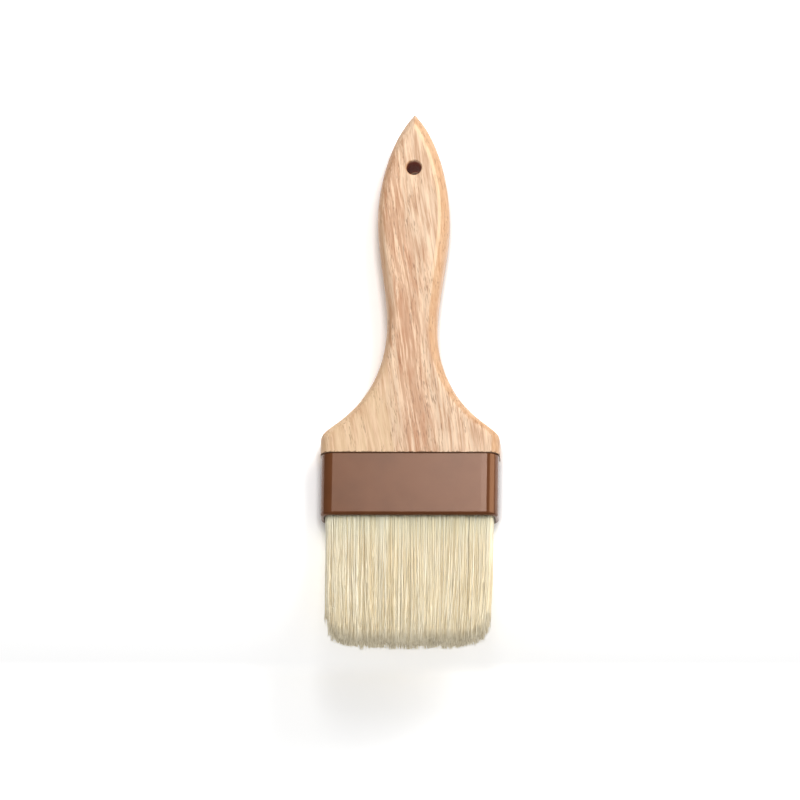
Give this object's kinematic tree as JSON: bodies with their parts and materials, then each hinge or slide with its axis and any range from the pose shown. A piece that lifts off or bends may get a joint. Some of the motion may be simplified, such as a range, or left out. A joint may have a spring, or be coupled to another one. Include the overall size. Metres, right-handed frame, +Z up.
{
  "type": "pastry brush",
  "caption": "Flat pastry brush: pale hardwood handle with a hanging hole and a pointed tip, brown plastic ferrule, and natural bristles that flex.",
  "frame": {"origin": "centre of the hanging hole, on the brush's mid-plane", "axes": "+Z up the handle towards its tip, X across the width, -Y out of the front face"},
  "size_m": [0.0756, 0.0166, 0.235],
  "materials": {
    "handle_wood": "sanded, unvarnished",
    "ferrule_plastic": "glossy, moulded",
    "tang_adhesive": "cured film",
    "spacer_wood": "sawn",
    "setting_resin": "cast",
    "bristle": "natural bristle, matte"
  },
  "bodies": {
    "brush_body": {"handle": "handle_wood", "ferrule": "ferrule_plastic", "tang_adhesive": "tang_adhesive", "spacer_strip": "spacer_wood", "bristle_setting": "setting_resin", "front_bristle_roots": "bristle", "back_bristle_roots": "bristle"},
    "bristle_pack": {"front_bristles": "bristle", "back_bristles": "bristle"}
  },
  "joints": [
    {"name": "bristle_flex", "type": "hinge", "parent": "brush_body", "child": "bristle_pack", "pos_m": [0, 0, -0.1541], "axis": [1, 0, 0], "range_deg": [-30, 30], "stiffness_Nm_per_rad": 0.15}
  ]
}
